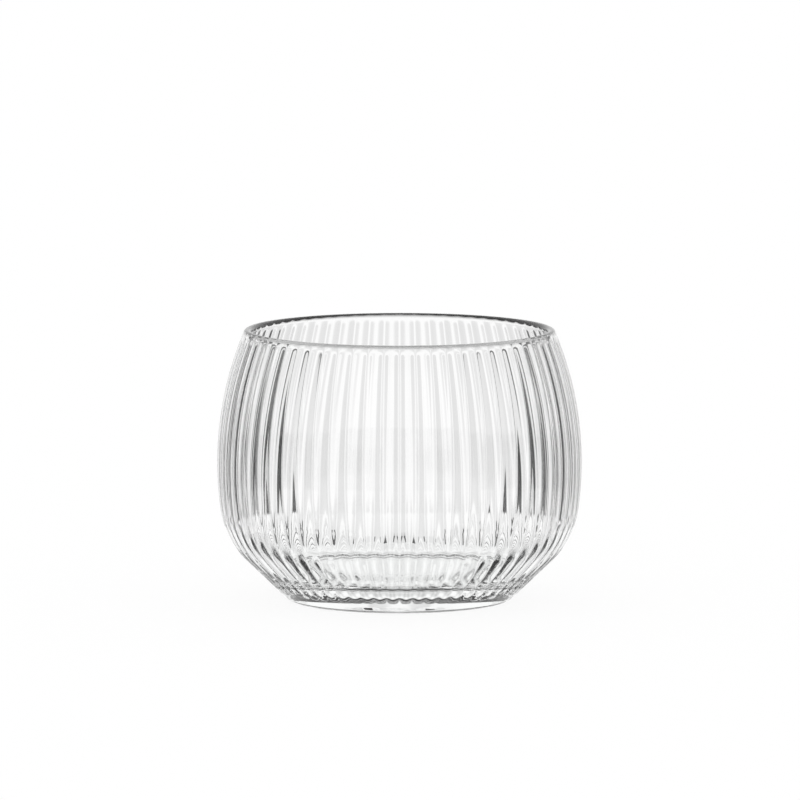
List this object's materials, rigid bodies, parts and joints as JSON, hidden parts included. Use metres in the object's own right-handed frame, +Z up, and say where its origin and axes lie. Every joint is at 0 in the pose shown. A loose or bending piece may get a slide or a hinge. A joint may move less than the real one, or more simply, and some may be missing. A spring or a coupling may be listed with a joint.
{
  "type": "tumbler",
  "caption": "Barrel-shaped drinking tumbler of clear glass, with upright ribs round its outside, a smooth rounded rim and a tapered foot on a standing ring.",
  "frame": {"origin": "centre of the standing ring, on the plane that the tumbler stands on", "axes": "+Z up along the tumbler's axis, -Y towards the viewer of the picture, +X to the right"},
  "size_m": [0.0968, 0.0968, 0.0723],
  "materials": {
    "clear_glass": "clear colourless pressed glass, polished, ribbed outside and smooth inside"
  },
  "bodies": {
    "root": {"glass_body": "clear_glass"}
  },
  "joints": []
}
